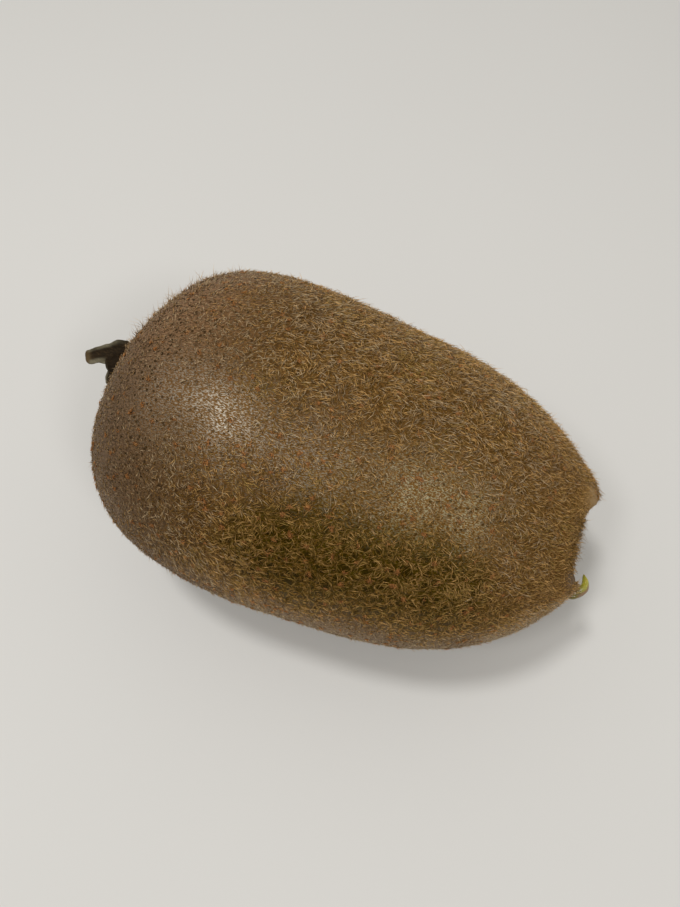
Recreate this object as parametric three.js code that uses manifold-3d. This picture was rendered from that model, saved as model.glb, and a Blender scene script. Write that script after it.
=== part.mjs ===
// A large kiwi fruit that lies on its side on a table, with its blossom end torn off.
// Millimetres, +Z up. The fruit lies along X: the stem end is at -X and the torn end is at +X.
import * as THREE from "three";
import Module from "manifold-3d";

// The whole fruit, as it was before its blossom end came off.
const BODY_LENGTH = 78;
const BODY_RADIUS = 24.6; // half the width at the middle
const BODY_FLATNESS = 0.955; // height over width of a cross section
const BODY_TAPER = 0.14; // how much narrower the blossom end grew than the stem end
const BODY_BEND = 3.1; // sideways swing of both ends from the middle
const STEM_END = { fullness: 3.04, shoulder: 3.2 };
const BLOSSOM_END = { fullness: 3.18, shoulder: 1.2 };
const LEAN = THREE.MathUtils.degToRad(4.4); // the narrower end lies lower
const FLAT_SPOT_DEPTH = 0.18; // the soft skin is pressed flat where the fruit rests

// The shallow dimple round the calyx.
const DIMPLE_DEPTH = 1.2;
const DIMPLE_RADIUS = 5;

// The torn end. Angles run from +Y over the top (90) round to the near side (180).
const TORN_X = 34.5; // how far the rim reaches from the middle of the whole fruit
const TORN_SLANT = { reach: 0.5, at: 40 }; // it reaches furthest here, and least on the other side
const NOTCH = { depth: 4.0, at: 106, halfWidth: 68 };
const LIP = { height: 1.0, at: 35, halfWidth: 60, length: 12 }; // the far rim swells a little
const HOLLOW_FLOOR_X = 29.8;

// The mesh of the fruit.
const MERIDIANS = 72;
const STEM_RINGS = 14;
const BLOSSOM_RINGS = 18;
const HOLLOW_RINGS = 6;

// The dried calyx: a short collar with five shrivelled sepals. Each route starts inside the collar,
// its points are offsets from the stem end's pole, and its broad side looks along `facing`.
const COLLAR = { radius: 2.5, flare: 3.1, height: 3.4, gap: 0.45 };
const SEPALS = {
  long: {
    route: [[-1.2, 0.4, 0.4], [-4.4, 1.5, 1.5], [-7.4, 0.4, 1.1], [-9.9, -0.8, 0.5]],
    width: [6.4, 1.7],
    facing: [0.1, -0.4, 0.9],
  },
  near: {
    route: [[-1.6, -0.1, 0.2], [-4.4, -0.1, 0.6], [-5.2, -1.8, 0.1], [-5.4, -3.4, -0.6]],
    width: [4.2, 1.3],
    facing: [-0.4, -0.4, 0.8],
  },
  top: {
    route: [[-1.6, 0.6, 0.4], [-3.6, 1.6, 1.2], [-4.3, 2.7, 1.7], [-4.5, 3.6, 2.2]],
    width: [4.6, 2.4],
    facing: [-0.5, -0.3, 0.8],
  },
  far: {
    route: [[-1.6, 0.5, -0.5], [-2.7, 1.8, -1.7], [-3.0, 3.0, -2.6], [-2.6, 4.2, -3.2]],
    width: [3.2, 1.4],
    facing: [-1, 0, 0],
  },
  low: {
    route: [[-1.6, -0.4, -0.6], [-2.8, -1.4, -2.0], [-3.2, -2.4, -3.2], [-2.8, -3.2, -4.3]],
    width: [3.2, 1.4],
    facing: [-1, 0, 0],
  },
};
const SEPAL_THICKNESS = 0.8;

// The shred of flesh that hooks out over the near rim. Its points are in the fruit's own frame.
const SHRED = {
  route: [
    [33.4, -3.9, 0.2],
    [34.8, -4.8, -0.1],
    [35.9, -5.5, -0.4],
    [36.7, -5.2, -0.1],
    [37.2, -4.2, 0.4],
    [37.2, -3.1, 0.3],
    [37.0, -1.9, -0.8],
  ],
  width: [2.4, 0.6],
  thickness: 1.1,
  facing: [0.1, -0.4, 0.9],
};

const wasm = await Module();
wasm.setup();

const halfLength = BODY_LENGTH / 2;

// Joins rings of points into one closed surface that faces out. The rings run along one way, and
// each ring turns anticlockwise about that way.
function skinOver(startPole, rings, endPole) {
  const points = [startPole, ...rings.flat(), endPole];
  const sides = rings[0].length;
  const at = (ring, side) => 1 + ring * sides + (side % sides);
  const last = points.length - 1;
  const triangles = [];
  for (let side = 0; side < sides; side += 1) {
    triangles.push(0, at(0, side + 1), at(0, side));
    triangles.push(last, at(rings.length - 1, side), at(rings.length - 1, side + 1));
    for (let ring = 0; ring < rings.length - 1; ring += 1) {
      const corner = at(ring, side + 1);
      const across = at(ring + 1, side);
      triangles.push(at(ring, side), corner, across);
      triangles.push(corner, at(ring + 1, side + 1), across);
    }
  }
  return { points, triangles };
}

function solidFrom({ points, triangles }) {
  const positions = new Float32Array(points.flatMap((point) => point.toArray()));
  const mesh = new wasm.Mesh({
    numProp: 3,
    vertProperties: positions,
    triVerts: new Uint32Array(triangles),
  });
  return new wasm.Manifold(mesh);
}

function geometryFrom(solid) {
  const mesh = solid.getMesh();
  const geometry = new THREE.BufferGeometry();
  geometry.setAttribute("position", new THREE.BufferAttribute(mesh.vertProperties, 3));
  geometry.setIndex(new THREE.BufferAttribute(mesh.triVerts, 1));
  geometry.computeVertexNormals();
  return geometry;
}

// A smooth bump of height 1 at angle `at`, which falls to 0 at `halfWidth` to either side.
function bumpRound(angle, { at, halfWidth }) {
  const away = Math.abs(THREE.MathUtils.euclideanModulo(angle - at + 180, 360) - 180);
  return away < halfWidth ? Math.cos((Math.PI / 2) * (away / halfWidth)) ** 2 : 0;
}

// The radius of the whole fruit at x, along its own axis.
function bodyRadius(x) {
  const along = x / halfLength;
  const end = along < 0 ? STEM_END : BLOSSOM_END;
  const round = Math.max(0, 1 - Math.abs(along) ** end.fullness) ** (1 / end.shoulder);
  return BODY_RADIUS * round * (1 - BODY_TAPER * along);
}

// How far the torn rim reaches along X at an angle round the fruit.
function rimX(angle) {
  const slant = TORN_SLANT.reach * Math.cos(THREE.MathUtils.degToRad(angle - TORN_SLANT.at));
  return TORN_X + slant - NOTCH.depth * bumpRound(angle, NOTCH);
}

// The bent axis's own direction at x, as a turn about Z.
function axisTurn(x) {
  return Math.atan((2 * BODY_BEND * x) / halfLength ** 2);
}

// The point at a distance from the bent axis, at an angle round it.
function aroundAxis(x, radius, angle) {
  const turn = axisTurn(x);
  const radians = THREE.MathUtils.degToRad(angle);
  const out = radius * Math.cos(radians);
  const rise = radius * BODY_FLATNESS * Math.sin(radians);
  const swing = BODY_BEND * (x / halfLength) ** 2;
  return new THREE.Vector3(x - out * Math.sin(turn), swing + out * Math.cos(turn), rise);
}

function skinPoint(x, angle) {
  const lipNear = Math.max(0, 1 - (rimX(angle) - x) / LIP.length);
  const radius = bodyRadius(x) + LIP.height * bumpRound(angle, LIP) * lipNear ** 2;
  const point = aroundAxis(x, radius, angle);
  if (x < 0) point.x += DIMPLE_DEPTH * Math.exp(-((radius / DIMPLE_RADIUS) ** 2));
  return point;
}

function hollowPoint(share, angle) {
  const rim = skinPoint(rimX(angle), angle);
  const floor = aroundAxis(HOLLOW_FLOOR_X, 0, 0);
  const point = rim.clone().lerp(floor, 1 - share);
  point.x = THREE.MathUtils.lerp(floor.x, rim.x, share ** 3);
  return point;
}

function makeFruit() {
  const angles = Array.from({ length: MERIDIANS }, (_, side) => (360 * side) / MERIDIANS);
  const rings = [];
  for (let ring = 1; ring <= STEM_RINGS; ring += 1) {
    const turn = (Math.PI / 2) * (ring / STEM_RINGS) ** 1.6;
    const x = -halfLength * Math.cos(turn) ** (2 / STEM_END.fullness);
    rings.push(angles.map((angle) => skinPoint(x, angle)));
  }
  for (let ring = 1; ring <= BLOSSOM_RINGS; ring += 1) {
    rings.push(angles.map((angle) => skinPoint((rimX(angle) * ring) / BLOSSOM_RINGS, angle)));
  }
  for (let ring = HOLLOW_RINGS - 1; ring >= 1; ring -= 1) {
    rings.push(angles.map((angle) => hollowPoint(ring / HOLLOW_RINGS, angle)));
  }
  return solidFrom(skinOver(skinPoint(-halfLength, 0), rings, hollowPoint(0, 0)));
}

// A closed strip along a route, with rounded edges, that narrows from its first width to its second.
function makeStrip({ route, width, facing, thickness }) {
  const stations = 9;
  const sides = 10;
  const points = route.map((point) => new THREE.Vector3(...point));
  const curve = new THREE.CatmullRomCurve3(points, false, "centripetal");
  const faceWay = new THREE.Vector3(...facing);
  const rings = [];
  for (let station = 0; station <= stations; station += 1) {
    const along = station / stations;
    const centre = curve.getPoint(along);
    const ahead = curve.getTangent(along);
    const side = new THREE.Vector3().crossVectors(faceWay, ahead).normalize();
    const normal = new THREE.Vector3().crossVectors(ahead, side);
    const halfWidth = THREE.MathUtils.lerp(width[0], width[1], along) / 2;
    const ring = [];
    for (let corner = 0; corner < sides; corner += 1) {
      const angle = (2 * Math.PI * corner) / sides;
      const across = side.clone().multiplyScalar(halfWidth * Math.cos(angle));
      const through = normal.clone().multiplyScalar((thickness / 2) * Math.sin(angle));
      ring.push(centre.clone().add(across).add(through));
    }
    rings.push(ring);
  }
  const rounding = thickness / 3;
  const start = curve.getPoint(0).addScaledVector(curve.getTangent(0), -rounding);
  const end = curve.getPoint(1).addScaledVector(curve.getTangent(1), rounding);
  return solidFrom(skinOver(start, rings, end));
}

function makeCollar() {
  const profile = [
    [0, 0],
    [COLLAR.radius, 0],
    [COLLAR.flare, COLLAR.height * 0.55],
    [COLLAR.flare * 0.9, COLLAR.height],
    [COLLAR.radius * 0.55, COLLAR.height * 0.8],
    [0, COLLAR.height * 0.7],
  ];
  const sides = 20;
  const ringAt = ([radius, height]) =>
    Array.from({ length: sides }, (_, side) => {
      const angle = (2 * Math.PI * side) / sides;
      return new THREE.Vector3(-height, radius * Math.sin(angle), radius * Math.cos(angle));
    });
  const rings = profile.slice(1, -1).map(ringAt);
  const top = new THREE.Vector3(-profile.at(-1)[1], 0, 0);
  return solidFrom(skinOver(new THREE.Vector3(), rings, top));
}

function makeCalyx() {
  const pole = aroundAxis(-halfLength, 0, 0);
  const turn = THREE.MathUtils.radToDeg(axisTurn(-halfLength));
  const collar = makeCollar().translate([DIMPLE_DEPTH - COLLAR.gap, 0, 0]).rotate([0, 0, turn]);
  const sepals = Object.values(SEPALS).map((sepal) => makeStrip({ ...sepal, thickness: SEPAL_THICKNESS }));
  return wasm.Manifold.union([collar, ...sepals]).translate(pole.toArray());
}

// Lays the pieces down as the fruit lies, and presses the flat spot.
function layDown(solids) {
  const leaning = solids.map((solid) => solid.rotate([0, THREE.MathUtils.radToDeg(LEAN), 0]));
  const lowest = leaning[0].boundingBox().min[2];
  const drop = [0, 0, -lowest - FLAT_SPOT_DEPTH];
  return leaning.map((solid) => solid.translate(drop).trimByPlane([0, 0, 1], 0));
}

function makeMesh(name, solid, color, roughness) {
  const material = new THREE.MeshStandardMaterial({ color, roughness, metalness: 0 });
  const mesh = new THREE.Mesh(geometryFrom(solid), material);
  mesh.name = name;
  return mesh;
}

const [fruit, calyx, shred] = layDown([makeFruit(), makeCalyx(), makeStrip(SHRED)]);

const kiwi = new THREE.Group();
kiwi.add(makeMesh("fruit", fruit, 0x6b5434, 0.75));
kiwi.add(makeMesh("dry_calyx", calyx, 0x3f3222, 0.9));
kiwi.add(makeMesh("flesh_shred", shred, 0x8c8f2a, 0.35));

// The frame's origin is under the middle of the object, on the table.
const middle = new THREE.Box3().setFromObject(kiwi).getCenter(new THREE.Vector3());
kiwi.position.set(-middle.x, -middle.y, 0);

export default kiwi;
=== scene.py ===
"""A kiwi fruit that lies on its side: hairy skin, dried calyx and a torn blossom end."""
import math

import bpy
import numpy as np
from bpy.props import FloatProperty, FloatVectorProperty, PointerProperty
from mathutils import Matrix, Vector, noise

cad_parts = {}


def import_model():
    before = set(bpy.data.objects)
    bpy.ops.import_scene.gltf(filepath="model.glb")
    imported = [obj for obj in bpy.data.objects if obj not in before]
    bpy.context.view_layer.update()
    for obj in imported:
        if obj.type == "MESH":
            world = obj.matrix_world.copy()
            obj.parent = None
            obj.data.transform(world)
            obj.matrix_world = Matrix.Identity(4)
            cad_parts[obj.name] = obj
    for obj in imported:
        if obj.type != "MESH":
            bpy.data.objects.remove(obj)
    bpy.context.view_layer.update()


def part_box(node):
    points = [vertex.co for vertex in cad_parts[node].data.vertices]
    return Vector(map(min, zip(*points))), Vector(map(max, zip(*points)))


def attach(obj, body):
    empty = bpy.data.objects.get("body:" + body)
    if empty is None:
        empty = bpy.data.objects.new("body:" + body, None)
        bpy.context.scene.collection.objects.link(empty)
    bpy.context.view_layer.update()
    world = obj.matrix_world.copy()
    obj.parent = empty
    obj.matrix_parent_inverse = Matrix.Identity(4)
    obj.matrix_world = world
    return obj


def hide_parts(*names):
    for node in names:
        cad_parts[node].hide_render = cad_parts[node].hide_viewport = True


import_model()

bl_info = {
    "name": "Kiwi fruit",
    "version": (1, 0, 0),
    "blender": (4, 5, 0),
    "location": "3D View > Sidebar > Kiwi",
    "description": "Builds a hairy kiwi fruit with a dried calyx and a torn blossom end",
    "category": "Add Mesh",
}

MM = 0.001  # one millimetre, in metres

# The body's own frame: it lies along X, with the stem end at -X and the torn end at +X. Angles
# run from +Y over the top (90) round to the near side (180).
STEM_END = {"fullness": 3.04, "shoulder": 3.2}
BLOSSOM_END = {"fullness": 3.18, "shoulder": 1.2}
DIMPLE_DEPTH = 2.7 * MM
DIMPLE_RADIUS = 6.8 * MM
TORN_X = 34.5 * MM
TORN_SLANT = {"reach": 0.5 * MM, "at": math.radians(40)}
NOTCH = {"depth": 4.0 * MM, "at": math.radians(108), "half_width": math.radians(61)}
LIP = {"height": 1.55 * MM, "at": math.radians(38), "half_width": math.radians(62), "length": 13 * MM}
RIM_ROLL = {"inward": 1.3 * MM, "length": 2.2 * MM}  # how the skin's torn edge rolls inwards
NOISE_RADIUS = 0.02  # the lumps and zones are worked out on a plain tube of this radius, in metres
JAGS = 1.6  # how far the torn rim strays to either side, in heights of the skin's lumps
HOLLOW_FLOOR_X = 29.8 * MM
FIBRE_HEIGHT = 0.9 * MM  # how far the torn fibres stand up in the hollow

# Zones of the skin, at an angle. The first two fade in and out along the body, between two shares
# of its half length from the middle.
OLIVE_SIDE = {"at": math.radians(146), "half_width": math.radians(44)}  # where the skin is greenest
OLIVE_START, OLIVE_END = (-0.42, -0.05), (0.64, 0.34)
# The worn band also carries a painted sheen: its skin and hairs are painted paler where the lamps'
# highlights fall.
WORN_AND_SHEEN_SIDE = {"at": math.radians(112), "half_width": math.radians(25)}  # where the hairs are rubbed thin
WORN_AND_SHEEN_START, WORN_AND_SHEEN_END = (-0.85, -0.52), (0.68, 0.3)
BARE_PATCH = {"at": math.radians(70), "half_width": math.radians(31)}  # golden skin at the far rim
FOLD = {"at": math.radians(140), "half_width": math.radians(24)}  # puckered skin at the near rim
TORN_SIDE = (0.35, 0.88)  # where the short even hairs of the torn end start and are in full

# How the body's rings are shared out along it, from the stem pole to the middle of the hollow.
MERIDIANS = 180
RINGS = 128
STEM_SHARE = 0.34
RIM_SHARE = 0.84
RING_POWERS = {"stem": 1.6, "rim": 1.25, "hollow": 1.5}  # how strongly each stretch's rings crowd

# The dried calyx. Each sepal's route is given as offsets from the stem end's pole, and its width
# is given at each point of the route. All are in millimetres.
COLLAR_PROFILE = [(2.4, 0), (2.5, 0.85), (3.1, 2.72), (2.79, 4.25), (1.9, 4.05), (1.375, 3.57)]
COLLAR_MOUTH = 3.2  # how high the middle of its mouth is
COLLAR_ROOT = 2.0 * MM  # how far inside the stem end's pole the collar starts
CUPPED = (0.1, -0.4, 0.9)
LOOKING_OUT = (-1.0, 0.0, 0.0)
LONG_ROUTE = [(-0.6, 0.6, 1.2), (-2.9, 1.5, 2.75), (-4.6, 1.05, 2.5), (-6.1, 0.45, 1.9)]
LONG_ROUTE += [(-7.55, 0.0, 1.4), (-8.9, -0.5, 0.75), (-10.0, -0.9, 0.3)]
NEAR_ROUTE = [(-1.0, 0.2, 0.8), (-3.55, 0.2, 2.6), (-4.5, -1.0, 2.5), (-4.5, -1.9, 1.1)]
NEAR_ROUTE += [(-4.8, -2.75, -0.25), (-4.7, -3.4, -1.1)]
TOP_ROUTE = [(-1.6, 0.6, 0.4), (-3.2, 1.9, 1.8), (-4.3, 2.6, 2.1), (-5.5, 2.8, 1.7)]
FAR_ROUTE = [(-1.6, 0.5, -0.5), (-2.7, 1.8, -1.7), (-3.0, 3.0, -2.6), (-2.6, 4.2, -3.2)]
LOW_ROUTE = [(-1.6, -0.4, -0.6), (-2.8, -1.4, -2.0), (-3.2, -2.4, -3.2), (-2.8, -3.2, -4.3)]
SEPALS = [
    {"route": LONG_ROUTE, "width": [3.4, 4.4, 4.7, 4.0, 3.0, 2.5, 1.9], "facing": CUPPED, "curl": 0.85},
    {"route": NEAR_ROUTE, "width": [2.6, 3.8, 3.4, 1.75, 1.7, 1.2], "facing": CUPPED, "curl": 0.7},
    {"route": TOP_ROUTE, "width": [3.0, 2.6, 2.2, 1.2], "facing": (-0.3, -0.3, 0.9), "curl": 0.8},
    {"route": FAR_ROUTE, "width": [3.2, 2.8, 2.2, 1.4], "facing": LOOKING_OUT, "curl": 0.8},
    {"route": LOW_ROUTE, "width": [3.2, 2.8, 2.2, 1.4], "facing": LOOKING_OUT, "curl": 0.8},
]
SEPALS[1]["pale_from"] = 0.42  # the near sepal is dark further along than the others

# The shred of flesh that curls out over the near rim, in the body's own frame, in millimetres.
SHRED_ROUTE = [(33.5, -6.3, 0.7), (34.6, -6.1, 0.9), (35.45, -6.0, 0.95), (36.2, -5.5, 1.05)]
SHRED_ROUTE += [(36.75, -4.75, 1.25), (36.8, -3.85, 1.25), (36.35, -2.7, 0.95)]
SHRED_WIDTH = [2.2, 2.5, 2.3, 1.95, 1.5, 1.05, 0.4]

PLEAT_TURNS = 16.0  # how closely the puckered skin is pleated, in radians a millimetre
TIP_START = 0.88  # how far along a strip its tip starts to round off
STRIP_STATIONS = 44  # how many rings a strip has along its route
STRIP_SIDES = 36  # and how many points each ring has
COLLAR_SIDES = 64
COLLAR_STEPS = 5  # how many rings the collar has between two points of its profile

FAMILIES = 3  # a coat's hairs are golden, brown or grey
TONES = 11  # and each family has this many tones, from dark to pale

# The coats of hair. The felt and the rusty tufts are straight, and the longer hairs bend. Lengths
# and thicknesses are in millimetres.
COAT_COLUMNS = ("count", "length", "thickness", "rise", "bends", "shade")
COATS = {
    "felt_dark": (50000, 0.80, 0.15, 0.50, 1, 0.05),
    "felt_brown": (46000, 0.80, 0.13, 0.55, 1, 0.35),
    "felt_tan": (64000, 0.80, 0.105, 0.60, 1, 0.7),
    "hairs_brown": (24000, 1.15, 0.095, 0.55, 2, 0.6),
    "hairs_tan": (26000, 1.35, 0.08, 0.65, 2, 1.15),
    "hairs_rust": (420000, 0.45, 0.14, 0.50, 1, 0.6),
}
CLUMP = 1.7 * MM  # the size of the meshes that the hairs are matted into
TUFT_CLUMP = 1.8 * MM  # and how far apart the rusty tufts are
TUFT_LIFT = 0.12 * MM  # how far the tufts stand over the skin
FINE_MESH = 1.9  # how many times finer the meshes are away from the green side
MOST_CROWDED = 1.6  # how many hairs grow on the threads of a mesh, for each one counted above
MOST_TRIANGLES = 200000

# What a plain hair has, and what each zone of the skin adds to it.
CROWD = dict(plain=1.0, torn_side=0.25, downy=-0.6, worn=-0.7, dusty=0.4, near_side=0.35, near_rim=1.8)
TUFT_CROWD = dict(plain=1.0, torn_side=-0.5, dusty=-0.5)
OUTWARD = dict(plain=0.75, torn_side=1.2, near_rim=7.0, near_side=-0.4)
SWIRL = dict(plain=4.5, near_side=-2.0)
RISE = dict(plain=1.0, downy=0.4, shaggy=1.2, torn_side=0.5, near_side=-0.4)
LENGTH = dict(plain=1.0, torn_side=-0.3, near_rim=1.2, downy=-0.5, shaggy=0.9, worn=-0.4)
LENGTH.update(near_side=-0.25, dusty=-0.15)
WIDTH = dict(plain=1.0, torn_side=-0.2, downy=-0.2)
DROOP = dict(plain=1.0, shaggy=-0.7, torn_side=-0.5)
PATCHES = dict(plain=0.6, torn_side=-0.25, calm=-0.1)
# Some of these tones and greys are painted light and shade: paler and greyer hairs in the worn band and low
# on the near side stand for painted sheen and bounce light, darker hairs on the near flank for painted
# shade, and darker hairs at the torn rim for hairs seen against the light.
TONE = dict(worn=0.1, near_side=-0.3, dusty=0.6, shaded_near_flank=-0.15, near_rim=-0.4, shaggy=-0.35)
GREYNESS = dict(near_side=-0.8, downy=0.5, torn_side=-0.35, dusty=0.5, worn_and_sheen_far=0.4)
GOLDNESS = dict(downy=-0.3, near_side=0.35)

# The camera, in millimetres, and the lamps, in metres: place, size and share of their power.
CAMERA_PLACE = (16.694, -40.451, 125.068)
CAMERA_RIGHT = (0.9363, 0.3511, 0.0)
CAMERA_LOOK = (-0.1428, 0.3808, -0.9135)
LAMPS = {
    "key_lamp": ((-0.13, -0.005, 0.55), 0.08, "key_power", 1.0),
    "left_lamp": ((-0.182, -0.216, 0.55), 0.10, "side_power", 1.05),
    "right_lamp": ((0.33, -0.21, 0.50), 0.12, "side_power", 1.06),
}
LAMPS_FACE = (0.0, 0.0, 0.02)
FLOOR_REACH = 2.0
FLOOR_GAP = 0.02 * MM  # how far the floor lies under the fruit, so that the two don't flicker


def size_property(name, description, default, **more):
    return FloatProperty(name=name, description=description, default=default, **more)


class KiwiShape(bpy.types.PropertyGroup):
    """The sizes of the whole fruit, as it was before its blossom end came off."""

    length: size_property("Length", "From the stem end to the blossom end", 78 * MM, unit="LENGTH")
    radius: size_property("Radius", "Half the width at the middle", 24.6 * MM, unit="LENGTH")
    flatness: size_property("Flatness", "Height over width of a cross section", 0.955)
    taper: size_property("Taper", "How much narrower the blossom end is than the stem end", 0.14)
    bend: size_property("Bend", "Sideways swing of both ends", 3.1 * MM, unit="LENGTH")
    lean: size_property("Lean", "How far the narrow end dips", math.radians(4.4), subtype="ANGLE")
    flat_spot: size_property("Flat spot", "Depth pressed flat on the table", 0.18 * MM, unit="LENGTH")
    coat: size_property("Coat", "How far the skin lies under its hairs", 0.5 * MM, unit="LENGTH")
    lumps: size_property("Lumps", "Height of the slow lumps in the skin", 0.22 * MM, unit="LENGTH")


def colour_property(name, description, default):
    return FloatVectorProperty(
        name=name, description=description, default=default, subtype="COLOR", min=0, max=1
    )


class KiwiColours(bpy.types.PropertyGroup):
    """The colours of the fruit, as linear light."""

    skin_dark: colour_property("Dark skin", "Bare skin between the hairs", (0.065, 0.032, 0.004))
    skin_brown: colour_property("Brown skin", "Most of the skin", (0.170, 0.080, 0.018))
    # Partly painted sheen: the rubbed skin's pale colour stands for the lamps' highlights on it.
    skin_rubbed_sheen: colour_property("Rubbed skin", "Where the hairs are worn thin", (0.38, 0.345, 0.28))
    skin_olive: colour_property("Olive skin", "Where green shows through the skin", (0.118, 0.079, 0.0005))
    skin_olive_dark: colour_property("Dark olive skin", "Gaps in the olive skin", (0.050, 0.027, 0.0003))
    skin_torn: colour_property("Torn end's skin", "The skin towards the torn end", (0.19, 0.085, 0.014))
    # Painted light: this pale colour stands for the table's bounce light and the down's sheen low on the
    # near side.
    skin_bounce_lit: colour_property("Dusty skin", "The skin low down on the near side", (0.38, 0.265, 0.165))
    pores: colour_property("Pores", "The dots where hairs have rubbed off", (0.050, 0.027, 0.008))
    skin_golden: colour_property("Golden skin", "The bare skin at the far rim", (0.30, 0.165, 0.036))
    down_dark: colour_property("Dark down", "Gaps in the fine down at the stem end", (0.054, 0.030, 0.014))
    down_pale: colour_property("Pale down", "The fine down at the stem end", (0.215, 0.130, 0.070))
    gold_dark: colour_property("Dark golden hair", "The darkest of the golden hairs", (0.16, 0.08, 0.004))
    gold_pale: colour_property("Pale golden hair", "The palest of the golden hairs", (0.63, 0.405, 0.125))
    warm_dark: colour_property("Dark brown hair", "The darkest of the brown hairs", (0.22, 0.11, 0.012))
    warm_pale: colour_property("Pale brown hair", "The palest of the brown hairs", (0.87, 0.515, 0.19))
    grey_dark: colour_property("Dark grey hair", "The darkest of the greyish hairs", (0.26, 0.14, 0.055))
    grey_pale: colour_property("Pale grey hair", "The palest of the greyish hairs", (0.82, 0.62, 0.37))
    rust_dark: colour_property("Dark rust hair", "The darkest hairs of the rusty tufts", (0.45, 0.18, 0.05))
    rust_pale: colour_property("Pale rust hair", "The palest hairs of the rusty tufts", (0.72, 0.34, 0.12))
    flesh: colour_property("Flesh", "The moist flesh at the torn end", (0.28, 0.27, 0.035))
    flesh_pale: colour_property("Pale flesh", "The core and the fibres", (0.55, 0.52, 0.20))
    flesh_green: colour_property("Green flesh", "The wetter flesh", (0.16, 0.2, 0.02))
    shred_dark: colour_property("Dark shred", "Gaps in the shred's fibres", (0.32, 0.29, 0.015))
    shred_pale: colour_property("Pale shred", "The shred's fibres", (0.46, 0.45, 0.07))
    shred_root_dark: colour_property("Dark shred root", "Gaps at the shred's root", (0.15, 0.11, 0.001))
    shred_root_pale: colour_property("Pale shred root", "Fibres at its root", (0.23, 0.175, 0.003))
    shred_bruise: colour_property("Bruise", "The outer side of the shred", (0.26, 0.15, 0.10))
    calyx_tip: colour_property("Calyx tip", "The insides of the sepals' tips", (0.12, 0.078, 0.035))
    calyx_dark: colour_property("Calyx inside", "The inner faces of the sepals", (0.022, 0.013, 0.005))
    calyx_brown: colour_property("Calyx brown", "Browner places on the sepals", (0.062, 0.037, 0.015))
    calyx_grey: colour_property("Calyx edge", "The dry edges and backs of the sepals", (0.22, 0.19, 0.12))
    floor: colour_property("Floor", "The table that the fruit lies on", (0.735, 0.722, 0.690))


class KiwiStage(bpy.types.PropertyGroup):
    """The camera's lens and the lamps."""

    lens: size_property("Lens", "Focal length", 27.78, subtype="DISTANCE_CAMERA")
    key_power: size_property("Key lamp", "Power of the lamp overhead", 0.95, unit="POWER")
    side_power: size_property("Side lamps", "Power of the lamps at the sides", 0.55, unit="POWER")
    room_light: size_property("Room light", "Strength of the even light from all round", 0.36)


# --- Nodes written as expressions ---------------------------------------------------------------


def is_vector(term):
    if isinstance(term, Wire):
        return term.socket.type in {"VECTOR", "RGBA"}
    return hasattr(term, "__len__")


class Wire:
    """One output of a node. A sum on wires adds the node that works it out."""

    def __init__(self, nodes, socket):
        self.nodes = nodes
        self.socket = socket

    def _sum(self, operation, *terms):
        if any(is_vector(term) for term in terms):
            return self.nodes.vector_math(operation, *terms)
        return self.nodes.math(operation, *terms)

    def __pow__(self, other):
        return self.nodes.math("POWER", self, other)

    def __lt__(self, other):
        return self.nodes.math("LESS_THAN", self, other)

    def __gt__(self, other):
        return self.nodes.math("GREATER_THAN", self, other)

    def absolute(self):
        return self._sum("ABSOLUTE", self)

    def normalized(self):
        return self.nodes.vector_math("NORMALIZE", self)

    def along(self, other):
        """How far this vector goes along another."""
        return self.nodes.vector_math("DOT_PRODUCT", self, other, output="Value")

    def length(self):
        return self.nodes.vector_math("LENGTH", self, output="Value")

    def part(self, axis):
        """One of a vector's three numbers."""
        return self.nodes.make("ShaderNodeSeparateXYZ", sockets={"Vector": self}, output=axis)

    def ramp(self, start, end, low=0.0, high=1.0, smooth=True):
        """Runs from low to high as this value goes from start to end, and stays there."""
        return self.nodes.make(
            "ShaderNodeMapRange",
            settings={"interpolation_type": "SMOOTHSTEP" if smooth else "LINEAR"},
            sockets={"Value": self, "From Min": start, "From Max": end, "To Min": low, "To Max": high},
        )


def give_wires(sign, operation):
    """Lets wires be used with a sign, such as add for +, on either side of it."""

    def before(self, other):
        return self._sum(operation, self, other)

    def after(self, other):
        return self._sum(operation, other, self)

    setattr(Wire, f"__{sign}__", before)
    setattr(Wire, f"__r{sign}__", after)


give_wires("add", "ADD")
give_wires("sub", "SUBTRACT")
give_wires("mul", "MULTIPLY")
give_wires("truediv", "DIVIDE")


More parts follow.
